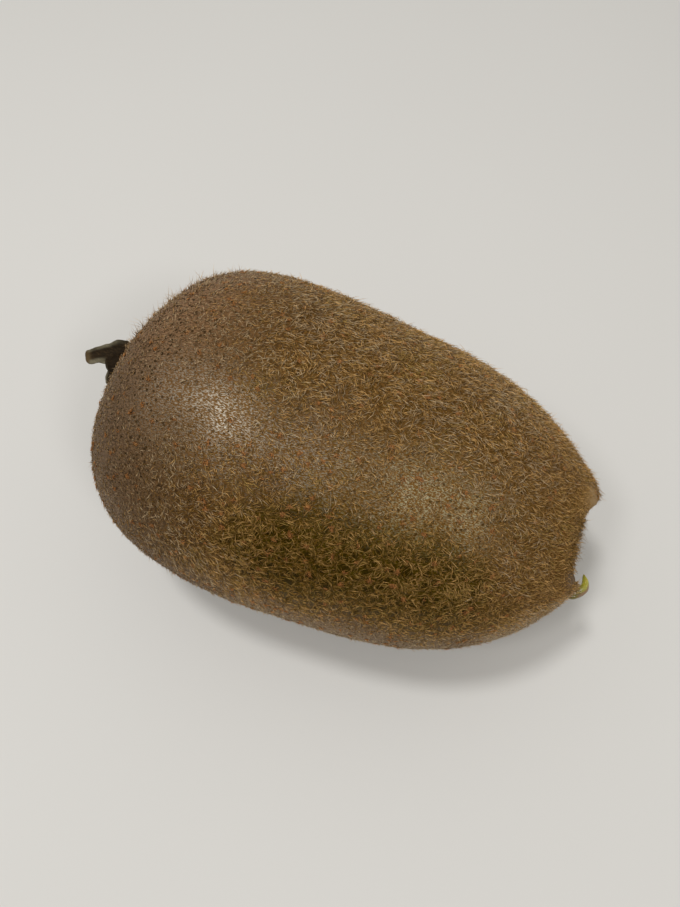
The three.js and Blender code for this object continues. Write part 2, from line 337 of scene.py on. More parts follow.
class Nodes:
    """A node tree that is written as expressions."""

    def __init__(self, tree):
        self.tree = tree
        self.tree.nodes.clear()

    def make(self, kind, settings=None, sockets=None, output=0):
        """Adds a node: its settings first, then its sockets' values or links. Returns one output."""
        node = self.tree.nodes.new(kind)
        for name, value in (settings or {}).items():
            if name == "stops":
                self._set_stops(node.color_ramp, value)
            else:
                setattr(node, name, value)
        for key, value in (sockets or {}).items():
            self._fill(self._find(node.inputs, key), value)
        return Wire(self, self._find(node.outputs, output)) if node.outputs else None

    @staticmethod
    def _set_stops(ramp, stops):
        while len(ramp.elements) < len(stops):
            ramp.elements.new(1.0)
        for element, (position, colour) in zip(ramp.elements, stops):
            element.position = position
            element.color = (*colour, 1.0)

    @staticmethod
    def _find(sockets, key):
        shown = [socket for socket in sockets if socket.enabled]
        if isinstance(key, int):
            return shown[key]
        for socket in shown:
            if key in (socket.name, socket.identifier):
                return socket
        raise KeyError(f"{key} is not one of {[socket.name for socket in shown]}")

    def _fill(self, socket, value):
        if isinstance(value, Wire):
            self.tree.links.new(value.socket, socket)
        elif socket.type == "VECTOR" and not is_vector(value):
            socket.default_value = (value, value, value)
        elif socket.type == "RGBA" and len(value) == 3:
            socket.default_value = (*value, 1.0)
        else:
            socket.default_value = value

    def math(self, operation, *terms):
        sockets = dict(enumerate(terms))
        return self.make("ShaderNodeMath", {"operation": operation}, sockets)

    def vector_math(self, operation, *terms, output="Vector"):
        sockets = dict(enumerate(terms))
        return self.make("ShaderNodeVectorMath", {"operation": operation}, sockets, output)

    def vector(self, x, y, z):
        return self.make("ShaderNodeCombineXYZ", sockets={"X": x, "Y": y, "Z": z})

    def mix(self, factor, low, high):
        """Goes from low to high, for colours, vectors or values, as factor goes from 0 to 1."""
        if any(isinstance(end, Wire) and end.socket.type == "VECTOR" for end in (low, high)):
            kind = "VECTOR"
        elif is_vector(low) or is_vector(high):
            kind = "RGBA"
        else:
            kind = "FLOAT"
        sockets = {"Factor": factor, "A": low, "B": high}
        return self.make("ShaderNodeMix", {"data_type": kind}, sockets)

    def noise(self, at, scale, detail=2.0, roughness=0.5, output="Fac"):
        sockets = {"Vector": at, "Scale": scale, "Detail": detail, "Roughness": roughness}
        return self.make("ShaderNodeTexNoise", sockets=sockets, output=output)

    def cells(self, at, scale, output="Distance", feature="F1"):
        sockets = {"Vector": at, "Scale": scale, "Randomness": 1.0}
        return self.make("ShaderNodeTexVoronoi", {"feature": feature}, sockets, output)


# --- Geometry Nodes trees -----------------------------------------------------------------------


class GrowingNodes(Nodes):
    """A Geometry Nodes tree with named inputs, which ends in one geometry."""

    def __init__(self, name, inputs, takes_surface=False):
        super().__init__(bpy.data.node_groups.new(name, "GeometryNodeTree"))
        face = self.tree.interface
        if takes_surface:
            face.new_socket("Geometry", in_out="INPUT", socket_type="NodeSocketGeometry")
        for label, kind in inputs.items():
            face.new_socket(label, in_out="INPUT", socket_type="NodeSocket" + kind)
        face.new_socket("Geometry", in_out="OUTPUT", socket_type="NodeSocketGeometry")
        self.entry = self.tree.nodes.new("NodeGroupInput")

    def given(self, label):
        return Wire(self, self.entry.outputs[label])

    def end(self, geometry):
        out = self.tree.nodes.new("NodeGroupOutput")
        self.tree.links.new(geometry.socket, out.inputs["Geometry"])

    def position(self):
        return self.make("GeometryNodeInputPosition")

    def attribute(self, name, kind="FLOAT"):
        return self.make("GeometryNodeInputNamedAttribute", {"data_type": kind}, {"Name": name})

    def store(self, geometry, name, value, kind="FLOAT", domain="POINT"):
        return self.make(
            "GeometryNodeStoreNamedAttribute",
            {"data_type": kind, "domain": domain},
            {"Geometry": geometry, "Name": name, "Value": value},
        )

    def set_position(self, geometry, position):
        return self.make("GeometryNodeSetPosition", sockets={"Geometry": geometry, "Position": position})

    def paint(self, geometry, material, where=True):
        sockets = {"Geometry": geometry, "Selection": where, "Material": material}
        return self.make("GeometryNodeSetMaterial", sockets=sockets)

    def random(self, low, high, seed, kind="FLOAT"):
        sockets = {"Min": low, "Max": high, "Seed": seed}
        return self.make("FunctionNodeRandomValue", {"data_type": kind}, sockets)


def grow(tree, inputs, surface=None):
    """The plain mesh that a tree makes from its inputs, and from a surface if it takes one."""
    holder = bpy.data.objects.new(tree.name, surface or bpy.data.meshes.new(tree.name))
    bpy.context.collection.objects.link(holder)
    modifier = holder.modifiers.new(tree.name, "NODES")
    modifier.node_group = tree
    for socket in tree.interface.items_tree:
        if socket.in_out == "INPUT" and socket.name in inputs:
            modifier[socket.identifier] = inputs[socket.name]
    graph = bpy.context.evaluated_depsgraph_get()
    mesh = bpy.data.meshes.new_from_object(holder.evaluated_get(graph))
    bpy.data.objects.remove(holder)
    if not mesh.polygons:
        raise RuntimeError(f"the tree {tree.name} made no faces")
    return mesh


def add_piece(name, mesh, stands_for=None):
    """Puts a finished mesh in the scene as a piece of the fruit."""
    mesh.name = name
    piece = bpy.data.objects.new(name, mesh)
    bpy.context.collection.objects.link(piece)
    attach(piece, "root")
    if stands_for:
        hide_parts(stands_for)
    return piece


# --- The fruit's body ---------------------------------------------------------------------------


def bump_round(nodes, angle, zone):
    """A smooth bump of height 1 at a zone's angle, which falls to 0 half a width to either side."""
    away = nodes.math("WRAP", angle - zone["at"], math.pi, -math.pi).absolute()
    share = nodes.math("MINIMUM", away / zone["half_width"], 1.0)
    return nodes.math("COSINE", share * (math.pi / 2)) ** 2.0


def calm_side(out_way, along):
    """Where the hairs are most alike: on top and on the far side, in the half by the torn end.

    `out_way` runs from -1 on the near side to 1 on the far side.
    """
    return out_way.ramp(-0.45, 0.1) * along.ramp(-0.4, 0.2)


def rounded(nodes, far, end):
    """How wide the body is, from 1 at its middle to 0 at an end, at a share of its half length."""
    return nodes.math("MAXIMUM", 1.0 - far ** end["fullness"], 0.0) ** (1 / end["shoulder"])


BODY_SIZES = ("Length", "Radius", "Flatness", "Taper", "Bend", "Lumps", "Coat")


def body_tree():
    """The tree that makes the fruit's skin and its torn hollow, in the body's own frame."""
    inputs = dict.fromkeys(BODY_SIZES, "Float")
    inputs.update({"Meridians": "Int", "Rings": "Int", "Skin": "Material", "Flesh": "Material"})
    g = GrowingNodes("kiwi_body", inputs)
    half = g.given("Length") / 2.0
    bend = g.given("Bend")
    counts = {"Vertices X": g.given("Meridians") + 1.0, "Vertices Y": g.given("Rings") + 1.0}
    body = g.make("GeometryNodeMeshGrid", sockets={"Size X": 1.0, "Size Y": 1.0, **counts})
    angle = (g.position().part("X") + 0.5) * (2 * math.pi)
    share = g.position().part("Y") + 0.5
    stem_turn = share.ramp(0.0, STEM_SHARE, smooth=False) ** RING_POWERS["stem"] * (math.pi / 2)
    to_rim = 1.0 - (1.0 - share.ramp(STEM_SHARE, RIM_SHARE, smooth=False)) ** RING_POWERS["rim"]
    inward = share.ramp(RIM_SHARE, 1.0, smooth=False) ** RING_POWERS["hollow"]

    # The torn rim: where it runs, and the skin's outline up to it.
    round_way = g.vector(g.math("COSINE", angle), g.math("SINE", angle), 0.0)
    slant = g.math("COSINE", angle - TORN_SLANT["at"]) * TORN_SLANT["reach"]
    notch = bump_round(g, angle, NOTCH) * NOTCH["depth"]
    jags = (g.noise(round_way, 7.0, 3.0) - 0.5) * (g.given("Lumps") * JAGS) * 2.0
    rim_x = TORN_X + slant - notch + jags

    x = rim_x * to_rim - half * g.math("COSINE", stem_turn) ** (2 / STEM_END["fullness"])
    along = x / half
    far = along.absolute()
    fullness = g.mix(along > 0.0, rounded(g, far, STEM_END), rounded(g, far, BLOSSOM_END))
    lip_near = g.math("MAXIMUM", 1.0 - (rim_x - x) / LIP["length"], 0.0)
    lip = bump_round(g, angle, LIP) * lip_near**1.5 * LIP["height"]
    to_edge = g.math("MAXIMUM", 1.0 - (rim_x - x) / RIM_ROLL["length"], 0.0)
    roll = to_edge**2.0 * RIM_ROLL["inward"]
    plain_radius = g.given("Radius") * fullness * (1.0 - g.given("Taper") * along) + lip - roll
    on_tube = round_way * NOISE_RADIUS
    place = g.vector(x, on_tube.part("X"), on_tube.part("Y"))
    slow = g.noise(place, 95.0, 1.0) - 0.5
    quick = g.noise(place, 420.0, 2.0) - 0.5
    lumps = (slow * 2.4 + quick * 0.55) * g.given("Lumps")
    radius = plain_radius + lumps * g.math("MINIMUM", plain_radius / (4 * MM), 1.0)

    def round_axis(at_x, out, rise):
        turn = g.math("ARCTANGENT", at_x * bend * 2.0 / (half * half))
        swing = bend * (at_x / half) ** 2.0
        return g.vector(at_x - out * g.math("SINE", turn), swing + out * g.math("COSINE", turn), rise)

    out = radius * round_way.part("X")
    rise = radius * round_way.part("Y") * g.given("Flatness")
    skin = round_axis(x, out, rise)
    dimple = g.math("EXPONENT", (radius / DIMPLE_RADIUS) ** 2.0 * -1.0) * DIMPLE_DEPTH
    skin = skin + g.vector(dimple * (x < 0.0), 0.0, 0.0)

    # The hollow: from the rim in to a point on its floor, with fibres that stand up between.
    floor = round_axis(HOLLOW_FLOOR_X, 0.0, 0.0)
    fibres = (g.noise(round_way, 9.0, 3.0) - 0.5) * inward * (1.0 - inward) * 4.0
    depth_share = (1.0 - inward) ** 3.0
    cave = g.mix(inward, skin, floor)
    cave_x = g.mix(depth_share, floor.part("X"), skin.part("X")) + fibres * FIBRE_HEIGHT
    point_x = g.mix(inward > 0.0, skin.part("X"), cave_x)
    past_rim = (x - rim_x + inward * plain_radius) / MM
    olive = bump_round(g, angle, OLIVE_SIDE) * along.ramp(*OLIVE_START) * along.ramp(*OLIVE_END)
    olive = olive + g.noise(place, 60.0, 1.0).ramp(0.6, 0.75) * 0.5
    # The worn band thins the hairs and makes the skin glossier. It also carries a painted sheen: its skin
    # and hairs are painted paler, most under two lamps' highlights and less between them.
    worn = bump_round(g, angle, WORN_AND_SHEEN_SIDE) * along.ramp(*WORN_AND_SHEEN_START) * along.ramp(*WORN_AND_SHEEN_END)
    worn = worn * g.noise(place, 110.0, 2.0).ramp(0.3, 0.6, 0.4, 1.0)
    worn = worn * (1.0 - along.ramp(-0.5, -0.25) * along.ramp(0.2, 0.0) * 0.4)

    fields = {"past_rim": past_rim, "along": along, "olive": olive, "worn": worn}
    fields.update(bare=bump_round(g, angle, BARE_PATCH), fold=bump_round(g, angle, FOLD))
    for name, value in fields.items():
        body = g.store(body, name, value)
    body = g.store(body, "round_way", round_way, "FLOAT_VECTOR")
    body = g.set_position(body, g.vector(point_x, cave.part("Y"), cave.part("Z")))
    body = g.make("GeometryNodeMergeByDistance", sockets={"Geometry": body, "Distance": 0.001 * MM})
    body = g.make("GeometryNodeSetShadeSmooth", sockets={"Geometry": body})
    # There is fine down instead of long hairs at the stem end and low down on the sides, and low on the
    # near side the skin and hairs are painted paler, for the table's bounce light.
    facing = g.make("GeometryNodeInputNormal")
    facing_up = facing.part("Z")
    along = g.attribute("along")
    near = facing.part("Y").ramp(0.2, -0.2)
    not_under = facing_up.ramp(-0.85, -0.45)
    level = facing_up + (g.noise(place, 260.0, 2.0) - 0.5) * 0.7
    low = level.ramp(0.38, -0.05) * (near * 0.6 + 0.4) * (not_under * 0.5 + 0.5)
    downy = g.math("MAXIMUM", along.ramp(-0.3, -0.85), low)
    # Painted light: low on the near side, most towards the torn end, the skin and hairs are painted paler
    # for the table's bounce light and the down's sheen.
    bounce_left = along.ramp(-0.5, -0.15) * (0.6 - along.ramp(0.0, 0.3) * 0.2)
    bounce_right = along.ramp(0.5, 0.72) * 1.2
    dusty = g.math("MINIMUM", level.ramp(0.52, 0.1) * (bounce_left + bounce_right), 1.0)
    # The skin lies under its hairs, except at the rim and where it rests on the table.
    under = g.attribute("past_rim").ramp(-0.2, -3.5) * facing_up.ramp(-0.97, -0.8)
    under = under * (1.0 - downy * 0.6)
    body = g.store(body, "downy", downy)
    body = g.store(body, "dusty", dusty * not_under * near)
    body = g.set_position(body, g.position() - facing * (under * g.given("Coat")))
    body = g.paint(body, g.given("Skin"))
    body = g.paint(body, g.given("Flesh"), where=g.attribute("past_rim") > 0.15)
    g.end(body)
    return g.tree


def body_inputs(shape, **more):
    """The body tree's inputs from the fruit's sizes, some of which can be given anew."""
    sizes = {name: getattr(shape, name.lower()) for name in BODY_SIZES}
    return {**sizes, "Meridians": MERIDIANS, "Rings": RINGS, **more}


def vertex_array(mesh):
    numbers = np.empty(len(mesh.vertices) * 3, dtype=np.float32)
    mesh.vertices.foreach_get("co", numbers)
    return numbers.reshape(-1, 3).astype(float)


def laid_down(shape):
    """The matrix that lays the body's own frame on the table, where the frame has the fruit."""
    plain = grow(body_tree(), body_inputs(shape, Lumps=0.0, Coat=0.0))
    lean = Matrix.Rotation(shape.lean, 3, "Y")
    points = vertex_array(plain) @ np.array(lean.transposed())
    bpy.data.meshes.remove(plain)
    low, high = points.min(axis=0), points.max(axis=0)
    box_low, box_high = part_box("fruit")
    middle_y = (box_low[1] + box_high[1]) / 2
    shift = Vector((box_low[0] - low[0], middle_y - (low[1] + high[1]) / 2, -low[2] - shape.flat_spot))
    return Matrix.Translation(shift) @ lean.to_4x4()


def press_flat(mesh):
    """Presses what would reach below the table flat on it."""
    points = vertex_array(mesh)
    points[:, 2] = np.maximum(points[:, 2], 0.0)
    mesh.vertices.foreach_set("co", points.astype(np.float32).ravel())
    mesh.update()


# --- Hairs --------------------------------------------------------------------------------------


def by_zone(zones, plain, **changes):
    """A plain value, and what each zone of the skin adds to it."""
    for zone, change in changes.items():
        plain = plain + zones[zone] * change
    return plain


def hair_zones(g, at):
    """How strongly each kind of place is found at a point on the skin, from 0 to 1."""
    past_rim = g.attribute("past_rim")
    along = g.attribute("along")
    out_way = g.attribute("round_way", "FLOAT_VECTOR").part("X")
    zones = {name: g.attribute(name) for name in ("downy", "dusty", "worn", "fold", "bare")}
    zones["near_side"] = g.attribute("olive")
    zones["worn_and_sheen_far"] = zones["worn"] * (1.0 - zones["near_side"])
    zones["torn_side"] = along.ramp(*TORN_SIDE)
    zones["far_side"] = out_way.ramp(-0.3, 0.3)
    # Painted shade: the hairs on the lower near flank are painted darker.
    zones["shaded_near_flank"] = out_way.ramp(-0.4, -0.8) * along.ramp(0.3, 0.0)
    zones["calm"] = calm_side(out_way, along)
    shaggy_spots = g.noise(at, 800.0, 1.0).ramp(0.48, 0.62)
    zones["shaggy"] = along.ramp(-0.7, -0.85) * out_way.ramp(-0.35, 0.05) * shaggy_spots
    zones["at_rim"] = past_rim.ramp(-1.4, -0.3)
    unfolded = 1.0 - zones["fold"]
    zones["near_rim"] = zones["at_rim"] * unfolded * zones["bare"].ramp(0.0, 0.25, 1.0, 0.0)
    bare_skin = zones["bare"] * past_rim.ramp(-2.8, -1.6) + zones["fold"] * past_rim.ramp(-2.0, -1.3)
    zones["bare_skin"] = g.math("MINIMUM", bare_skin, 0.94)
    return zones


def kept_in_web(g, at, near_side):
    """The share of hairs that stay, and the middle of the mesh that each one is in.

    They are matted into a web, which is widest on the green side. The rusty coat has small tufts
    instead, one in the middle of each of the web's meshes.
    """
    clump = g.given("Clump Size")
    mesh_at = g.cells(at, 1.0 / clump, output="Position")
    tuft_edge = (mesh_at - at).length() / clump + (g.noise(at, 600.0, 1.0) - 0.5) * 0.3
    in_tuft = g.mix(g.given("Tuft Cover"), 1.0, tuft_edge.ramp(0.13, 0.2, 1.0, 0.0))
    off_border = g.cells(at, 1.0 / clump, feature="DISTANCE_TO_EDGE")
    off_fine_border = g.cells(at, FINE_MESH / clump, feature="DISTANCE_TO_EDGE")
    fine_web = g.mix(0.6, 1.0 / MOST_CROWDED, off_fine_border.ramp(0.08, 0.26, 1.0, 0.1))
    in_web = g.mix(near_side.ramp(0.15, 0.5), fine_web, off_border.ramp(0.06, 0.2, 1.0, 0.06))
    return in_tuft * g.mix(g.given("Tuft Cover"), in_web, 1.0), mesh_at


def hair_tree():
    """The tree that grows one coat of bent hairs on the skin."""
    inputs = dict.fromkeys(("Density", "Hair Length", "Thickness", "Rise", "Clump Size"), "Float")
    inputs.update(dict.fromkeys(("Clumping", "Tuft Cover", "Lift", "Shade"), "Float"))
    inputs.update({"Bends": "Int", "Calyx": "Vector", "Seed": "Int", "Material": "Material"})
    g = GrowingNodes("kiwi_hairs", inputs, takes_surface=True)
    seed = g.given("Seed")
    tufts = g.given("Tuft Cover")
    at = g.position()
    zones = hair_zones(g, at)
    downy = zones["downy"]
    near_side = zones["near_side"]
    kept, mesh_at = kept_in_web(g, at, near_side)

    # Where hairs grow: on the skin only, not under the calyx, and not on the flat spot.
    clear_of_calyx = (at - g.given("Calyx")).length() > 2.6 * MM
    on_skin = (g.attribute("past_rim") < 0.0) * clear_of_calyx * (at.part("Z") > 0.25 * MM)
    under = g.make("GeometryNodeInputNormal").part("Z").ramp(-0.5, -0.9, 1.0, 0.6)
    crowd = g.math("MAXIMUM", by_zone(zones, **CROWD), 0.1)
    crowd = g.mix(tufts, crowd, by_zone(zones, **TUFT_CROWD)) * under * (1.0 - zones["bare_skin"])
    per_square_metre = g.given("Density") * 1e6
    scatter = g.make(
        "GeometryNodeDistributePointsOnFaces",
        sockets={
            "Mesh": g.given("Geometry"),
            "Density": per_square_metre * on_skin * crowd * MOST_CROWDED,
            "Seed": seed,
        },
        output="Points",
    )
    normal = Wire(g, scatter.socket.node.outputs["Normal"])
    thinned = {"Geometry": scatter, "Selection": g.random(0.0, 1.0, seed + 9.0) > kept}
    scatter = g.make("GeometryNodeDeleteGeometry", {"domain": "POINT"}, thinned)
    scatter = g.set_position(scatter, g.position() + normal * g.given("Lift"))

    # Which way each hair lies: matted with its clump, and out over the rim at the torn end.
    def sideways(way):
        return way - normal * way.along(normal)

    to_middle = sideways(mesh_at - at) / g.given("Clump Size")
    round_middle = g.vector_math("CROSS_PRODUCT", normal, to_middle)
    to_clump = to_middle * (1.0 - near_side * 0.6) + round_middle * (near_side * 2.2)
    swirl = sideways(g.noise(at, 330.0, 1.0, output="Color") - 0.5) * by_zone(zones, **SWIRL)
    stray = sideways(g.random((-1.0, -1.0, -1.0), (1.0, 1.0, 1.0), seed + 1.0, "FLOAT_VECTOR"))
    outward = sideways(g.vector(1.0, 0.0, 0.0)) * by_zone(zones, **OUTWARD)
    lie = (to_clump * g.given("Clumping") + swirl + stray * 0.8 + outward).normalized()
    rise = g.given("Rise") * g.random(0.3, 1.5, seed + 2.0) * by_zone(zones, **RISE)
    way = (lie + normal * rise).normalized()

    # How long it is and how it bends.
    length_here = g.math("MAXIMUM", by_zone(zones, **LENGTH), 0.35)
    length = g.given("Hair Length") * g.mix(tufts, length_here, 1.0)
    longer = 1.3 * g.random(0.0, 1.0, seed + 3.0) ** 2.0 * (1.0 - zones["at_rim"] * 0.7)
    length = length * (0.6 + longer)
    width = g.given("Thickness") / 2.0 * by_zone(zones, **WIDTH)
    across = g.vector_math("CROSS_PRODUCT", way, normal) * g.random(-0.75, 0.75, seed + 4.0)
    droop = g.random(0.05, 0.5, seed + 5.0) * by_zone(zones, **DROOP)
    bend = (across - normal * droop + to_middle * near_side * 0.9) * length

    # Its colour: a family, and a tone from dark to pale.
    patch = g.noise(at, 160.0, 2.0) - 0.5
    spread = g.random(-0.1, 0.5, seed + 6.0) * (1.0 - zones["calm"] * 0.4) + zones["calm"] * 0.08
    tone = (g.given("Shade") * 0.6 + spread) * (1.0 - zones["torn_side"] * 0.15)
    tone = tone + patch * by_zone(zones, **PATCHES)
    # Painted shade and light: the down's hairs are darker on the near side and paler on the far side.
    tone = by_zone(zones, tone - downy * (0.2 - zones["far_side"] * 0.3), **TONE)
    tone = g.math("MINIMUM", g.math("MAXIMUM", tone, 0.0), 0.999)
    greyness = by_zone(zones, g.noise(at, 90.0, 1.0) - 0.1, **GREYNESS)
    goldness = by_zone(zones, patch * 1.2 + 0.1, **GOLDNESS)
    is_grey = g.random(0.0, 1.0, seed + 7.0) < greyness
    is_gold = g.random(0.0, 1.0, seed + 8.0) < goldness
    family = g.mix(is_gold, 1.0 + is_grey, 0.0)
    column = family * TONES + g.math("FLOOR", tone * TONES)

    hairs = g.store(scatter, "hair_bend", bend, "FLOAT_VECTOR")
    hairs = g.store(hairs, "hair_tone", column)
    hairs = g.make(
        "GeometryNodeInstanceOnPoints",
        sockets={
            "Points": hairs,
            "Instance": needle(g),
            "Rotation": g.make("FunctionNodeAlignRotationToVector", {"axis": "Z"}, {"Vector": way}),
            "Scale": g.vector(width, width, length),
        },
    )
    hairs = g.make("GeometryNodeRealizeInstances", sockets={"Geometry": hairs})
    up = g.attribute("hair_up")
    bent = g.position() + g.attribute("hair_bend", "FLOAT_VECTOR") * (up * up)
    above_table = g.math("MAXIMUM", bent.part("Z"), 0.02 * MM)
    hairs = g.set_position(hairs, g.vector(bent.part("X"), bent.part("Y"), above_table))
    column = (g.attribute("hair_tone") + 0.04 + g.attribute("hair_side") * 0.92) / (TONES * FAMILIES)
    hairs = g.store(hairs, "OFBake", g.vector(column, up, 0.0), "FLOAT2", "CORNER")
    hairs = g.make("GeometryNodeSetShadeSmooth", sockets={"Geometry": hairs})
    g.end(g.paint(hairs, g.given("Material")))
    return g.tree


def needle(g):
    """One straight hair of unit length and radius: three sides, which narrow to a point."""
    sizes = {"Vertices": 3, "Radius Top": 0.0, "Radius Bottom": 1.0, "Depth": 1.0}
    cone = g.make("GeometryNodeMeshCone", sockets={"Side Segments": g.given("Bends"), **sizes})
    index = g.make("GeometryNodeInputIndex")
    height = g.position().part("Z")
    # Its middle is nearly as thick as its root. One corner of the root is a little further up the
    # map than the others, so that the root's end has a place of its own on it.
    wide = g.math("MULTIPLY", height > 0.3, height < 0.7) * 0.7 + 1.0
    side = g.math("MODULO", index + 2.0, 3.0) / 2.0
    tip = height > 0.9
    side = g.mix(tip, side, 0.5)
    up = g.mix(height < 0.1, height, 0.04 - (side - 0.5).absolute() * 0.08)
    cone = g.store(cone, "hair_side", side)
    cone = g.store(cone, "hair_up", g.math("MAXIMUM", up, 0.0))
    spread = g.vector(g.position().part("X") * wide, g.position().part("Y") * wide, height)
    return g.set_position(cone, spread)


# --- Finishes -----------------------------------------------------------------------------------


class Finish(Nodes):
    """A material that ends in one shader."""

    def __init__(self, name):
        self.material = bpy.data.materials.new(name)
        self.material.use_nodes = True
        super().__init__(self.material.node_tree)

    def place(self):
        """The place on the piece, in millimetres."""
        at = self.make("ShaderNodeTexCoord", output="Object")
        return at / MM

    def attribute(self, name, output="Fac"):
        return self.make("ShaderNodeAttribute", {"attribute_name": name}, output=output)

    def bump(self, height, strength, distance):
        sockets = {"Height": height, "Strength": strength, "Distance": distance}
        return self.make("ShaderNodeBump", sockets=sockets)

    def end(self, **sockets):
        """The surface. Names hold an underscore where the shader's own names hold a space."""
        named = {name.replace("_", " "): value for name, value in sockets.items()}
        shader = self.make("ShaderNodeBsdfPrincipled", sockets=named)
        self.make("ShaderNodeOutputMaterial", sockets={"Surface": shader})
        return self.material


# What the skin's colours are multiplied by: painted shade in the meshes of the web, painted shade and light
# on the down at the near and the far side, and the painted sheen's tint on rubbed skin towards the torn
# end.
GAP_SHADE = (0.42, 0.38, 0.3)
DOWN_NEAR_SHADE, DOWN_FAR_LIGHT = (0.85, 0.85, 0.85), (1.35, 1.25, 1.15)
RUBBED_SHEEN_GREEN = (1.0, 0.99, 0.74)


def skin_finish(colours):
    """Brown felted skin with pores and painted shade in the gaps, greener along one side, and rubbed on top
    under a painted sheen.
    """
    f = Finish("kiwi_skin")
    at = f.place()
    along, past_rim, worn, downy, dusty = map(f.attribute, ("along", "past_rim", "worn", "downy", "dusty"))
    out_way = f.attribute("round_way", "Vector").part("X")
    torn_side = along.ramp(*TORN_SIDE)
    patches = f.noise(at, 0.16, 3.0, 0.55)
    grain = f.noise(at, 2.2, 4.0, 0.65)
    specks = f.noise(at * (0.35, 1.0, 1.0), 8.0, 1.0, 0.5)
    fibres = f.noise(at * (0.4, 1.0, 1.0), 5.0, 3.0, 0.6)
    shine = specks.ramp(0.48, 0.62)
    grained = grain.ramp(0.32, 0.68)
    dots = f.cells(at, 1.25).ramp(0.18, 0.34, 1.0, 0.0) * (0.35 + 0.6 * f.math("MAXIMUM", downy, worn))

    # The ground: brown or green, with painted shade in the meshes between the hairs.
    green_side = (f.attribute("olive") + (patches - 0.5) * 0.8).ramp(0.1, 0.6)
    brown = f.mix(grained, colours.skin_dark, colours.skin_brown)
    olive = f.mix(grained, colours.skin_olive_dark, colours.skin_olive)
    ground = f.mix(torn_side * 0.6, f.mix(green_side, brown, olive), colours.skin_torn)
    meshes = MM / CLUMP
    fine_gap = f.cells(at, FINE_MESH * meshes, feature="DISTANCE_TO_EDGE").ramp(0.14, 0.34)
    wide_gap = f.cells(at, meshes, feature="DISTANCE_TO_EDGE").ramp(0.12, 0.3)
    shaded_gap = f.mix(green_side, fine_gap, wide_gap) * (1.0 - worn) * (1.0 - dusty * 0.7)
    shaded_gap = shaded_gap * (1.0 - torn_side * 0.7) * (1.0 - calm_side(out_way, along) * 0.5)
    ground = f.mix(shaded_gap * 0.75, ground, ground * GAP_SHADE)

    # Over it: down, the painted bounce light low on the near side, rubbed skin with its painted sheen,
    # pores, and the golden and the puckered skin at the rim.
    down = f.mix(fibres.ramp(0.35, 0.65), colours.down_dark, colours.down_pale)
    # Painted shade and light: the down is darker on the near side and paler on the far side.
    down = down * f.mix(out_way.ramp(-0.5, 0.2), DOWN_NEAR_SHADE, DOWN_FAR_LIGHT)
    ground = f.mix(dusty, f.mix(downy, ground, down), colours.skin_bounce_lit)
    # Painted sheen: the rubbed skin is painted paler in its specks, and greener towards the torn end.
    rubbed_sheen = f.mix(shine, colours.skin_brown, colours.skin_rubbed_sheen)
    rubbed_sheen = rubbed_sheen * f.mix(along.ramp(-0.2, 0.2), (1.0, 1.0, 1.0), RUBBED_SHEEN_GREEN)
    tint = f.mix(dots, f.mix(worn, ground, rubbed_sheen), colours.pores)
    golden = f.attribute("bare") * (past_rim + (grain - 0.5) * 2.5).ramp(-3.0, -1.2)
    tint = f.mix(golden, tint, colours.skin_golden)
    pleats = f.math("SINE", past_rim * PLEAT_TURNS + grain * 2.0).ramp(-0.2, 0.6)
    pleated = f.attribute("fold") * past_rim.ramp(-1.6, -1.0)
    height = grain * 0.5 + fibres * 0.5 + specks * 0.5 - dots * 0.5 + pleated * pleats
    return f.end(
        # Painted shade: the pleats' troughs are painted dark, in the creases of the puckered skin.
        Base_Color=f.mix(pleated * (1.0 - pleats) * 0.8, tint, colours.skin_dark),
        Metallic=f.math("MAXIMUM", worn * shine * 0.38, f.math("MAXIMUM", dots, green_side * 0.85)),
        Roughness=f.mix(worn, 0.55 + 0.3 * grain, 0.37),
        Normal=f.bump(height, 1.0, 0.05 * MM),
        Specular_IOR_Level=0.12,
        Specular_Tint=(1.0, 0.88, 0.6, 1.0),
        Sheen_Weight=0.2,
        Sheen_Roughness=0.4,
        Sheen_Tint=(1.0, 0.83, 0.66, 1.0),
    )


def flesh_finish(colours):
    """Moist flesh with pale rays and a pale core, browned at its edge."""
    f = Finish("kiwi_flesh")
    at = f.place()
    past_rim = f.attribute("past_rim")
    round_way = f.attribute("round_way", "Vector")
    wet = f.noise(at, 0.9, 3.0)
    rays = f.noise(round_way * 16.0 + f.vector(past_rim * 0.06, 0.0, 0.0), 1.0, 3.0, 0.6)
    flesh = f.mix(rays.ramp(0.35, 0.7), colours.flesh, colours.flesh_pale)
    green = f.mix(wet.ramp(0.3, 0.7) * 0.5, flesh, colours.flesh_green)
    core = (past_rim + wet * 3.0).ramp(12.5, 16.0)
    fruit = f.mix(core * 0.85, green, colours.flesh_pale)
    edge = (past_rim + wet * 0.9).ramp(0.7, 1.5, 1.0, 0.0)
    colour = f.mix(edge, fruit, colours.skin_brown)
    height = rays * 0.6 + wet * 0.8
    return f.end(
        Base_Color=colour,
        Roughness=0.22 + 0.25 * wet + 0.2 * edge,
        Normal=f.bump(height, 0.5, 0.4 * MM),
        Subsurface_Weight=0.2,
        Subsurface_Scale=1.2 * MM,
        Specular_IOR_Level=0.55,
    )


def hair_finish(name, families):
    """A coat's colours: darker at the root, partly as painted shade, and one tone for each hair, all read
    from its own map.

    The map goes through the families in turn, each from its darkest tone to its palest.
    """
    f = Finish(name)
    on_map = f.make("ShaderNodeUVMap", {"uv_map": "OFBake"})
    stops = []
    for order, (dark, pale) in enumerate(families):
        stops.append((order / FAMILIES, dark))
        stops.append(((order + 1) / FAMILIES - 0.001, pale))
    colour = f.make("ShaderNodeValToRGB", {"stops": stops}, {"Fac": on_map.part("X")}, "Color")
    # Partly painted shade: each hair is darker towards its root, where the coat shades it.
    shade = on_map.part("Y").ramp(0.0, 0.6, 0.4, 1.0)
    return f.end(
        Base_Color=f.mix(shade, (0.0, 0.0, 0.0), colour),
        Roughness=0.30,
        Specular_IOR_Level=0.15,
        Specular_Tint=(1.0, 0.82, 0.5, 1.0),
    )


